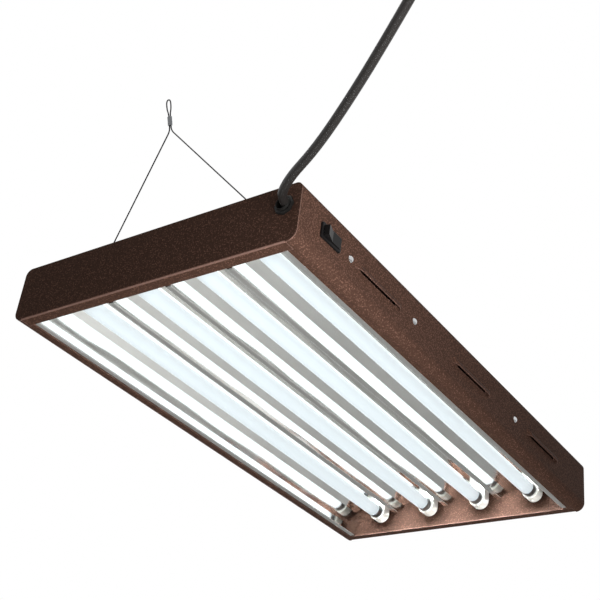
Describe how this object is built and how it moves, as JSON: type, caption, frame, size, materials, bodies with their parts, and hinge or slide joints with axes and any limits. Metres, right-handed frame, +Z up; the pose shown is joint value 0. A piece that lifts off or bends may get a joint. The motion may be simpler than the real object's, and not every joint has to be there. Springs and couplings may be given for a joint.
{
  "type": "fluorescent light fixture",
  "caption": "Hanging fluorescent light fixture: shallow folded-sheet housing, slim tube lamps under a ridged mirror reflector, side rocker switch, wire hangers and a corded plug.",
  "frame": {"origin": "midway between the two hanger loops, at the height where the ceiling hooks bear", "axes": "+Z up, +Y along the lamps away from the end where the cord leaves, +X towards the side with the switch"},
  "size_m": [0.5863, 0.8017, 0.2354],
  "materials": {
    "brown_paint": "speckled textured enamel",
    "mirror_sheet": "polished",
    "zinc_steel": "zinc plated",
    "bright_screw": "bright",
    "white_plastic": "moulded",
    "brass": "plain",
    "lamp_glass": "white coated",
    "cap_metal": "satin",
    "pin_metal": "bright",
    "rotor_plastic": "moulded",
    "ballast_case": "smooth enamel",
    "circuit_board": "laminate and components",
    "switch_black": "moulded",
    "gland_black": "moulded",
    "lead_insulation": "extruded",
    "cord_rubber": "extruded",
    "tie_strap": "woven strap",
    "hanger_steel": "stranded wire",
    "crimp_metal": "crimped"
  },
  "bodies": {
    "fixture": {"ballast_left_base": "ballast_case", "ballast_left_board": "circuit_board", "ballast_left_can": "ballast_case", "ballast_right_base": "ballast_case", "ballast_right_board": "circuit_board", "ballast_right_can": "ballast_case", "ballast_screws": "zinc_steel", "cord_coil": "cord_rubber", "cord_tie": "tie_strap", "end_plate_far": "brown_paint", "end_plate_near": "brown_paint", "gland_body": "gland_black", "gland_nut": "gland_black", "ground_screw": "zinc_steel", "housing_body": "brown_paint", "lamp_leads": "lead_insulation", "lampholder_1_far": "white_plastic", "lampholder_1_near": "white_plastic", "lampholder_2_far": "white_plastic", "lampholder_2_near": "white_plastic", "lampholder_3_far": "white_plastic", "lampholder_3_near": "white_plastic", "lampholder_4_far": "white_plastic", "lampholder_4_near": "white_plastic", "lampholder_contacts": "brass", "mains_leads": "lead_insulation", "plug_blades": "brass", "plug_body": "cord_rubber", "plug_ground_pin": "brass", "power_cord": "cord_rubber", "reflector": "mirror_sheet", "reflector_clips": "zinc_steel", "side_screws": "bright_screw", "socket_bar_far": "brown_paint", "socket_bar_near": "brown_paint", "switch_frame": "switch_black", "switch_terminals": "brass"},
    "rocker": {"switch_rocker": "switch_black"},
    "hanger_near": {"hanger_near_cable": "hanger_steel", "hanger_near_ferrule": "crimp_metal", "hanger_near_sleeves": "crimp_metal"},
    "hanger_far": {"hanger_far_cable": "hanger_steel", "hanger_far_ferrule": "crimp_metal", "hanger_far_sleeves": "crimp_metal"},
    "lamp_1": {"lamp_1_tube": "lamp_glass", "lamp_1_caps": "cap_metal", "lamp_1_pins": "pin_metal", "lamp_1_rotors": "rotor_plastic"},
    "lamp_2": {"lamp_2_tube": "lamp_glass", "lamp_2_caps": "cap_metal", "lamp_2_pins": "pin_metal", "lamp_2_rotors": "rotor_plastic"},
    "lamp_3": {"lamp_3_tube": "lamp_glass", "lamp_3_caps": "cap_metal", "lamp_3_pins": "pin_metal", "lamp_3_rotors": "rotor_plastic"},
    "lamp_4": {"lamp_4_tube": "lamp_glass", "lamp_4_caps": "cap_metal", "lamp_4_pins": "pin_metal", "lamp_4_rotors": "rotor_plastic"}
  },
  "joints": [
    {"name": "switch_rock", "type": "hinge", "parent": "fixture", "child": "rocker", "pos_m": [0.1625, -0.2492, -0.16692], "axis": [0, 0, -1], "range_deg": [0, 20]},
    {"name": "lamp_1_turn", "type": "hinge", "parent": "fixture", "child": "lamp_1", "pos_m": [-0.1035, 0, -0.17192], "axis": [0, 1, 0], "range_deg": [0, 90]},
    {"name": "lamp_2_turn", "type": "hinge", "parent": "fixture", "child": "lamp_2", "pos_m": [-0.0345, 0, -0.17192], "axis": [0, 1, 0], "range_deg": [0, 90]},
    {"name": "lamp_3_turn", "type": "hinge", "parent": "fixture", "child": "lamp_3", "pos_m": [0.0345, 0, -0.17192], "axis": [0, 1, 0], "range_deg": [0, 90]},
    {"name": "lamp_4_turn", "type": "hinge", "parent": "fixture", "child": "lamp_4", "pos_m": [0.1035, 0, -0.17192], "axis": [0, 1, 0], "range_deg": [0, 90]},
    {"name": "hanger_near_swing", "type": "hinge", "parent": "fixture", "child": "hanger_near", "pos_m": [0, -0.2615, -0.13442], "axis": [1, 0, 0], "range_deg": [-108, 67]},
    {"name": "hanger_far_swing", "type": "hinge", "parent": "fixture", "child": "hanger_far", "pos_m": [0, 0.2615, -0.13442], "axis": [-1, 0, 0], "range_deg": [-108, 67]}
  ]
}
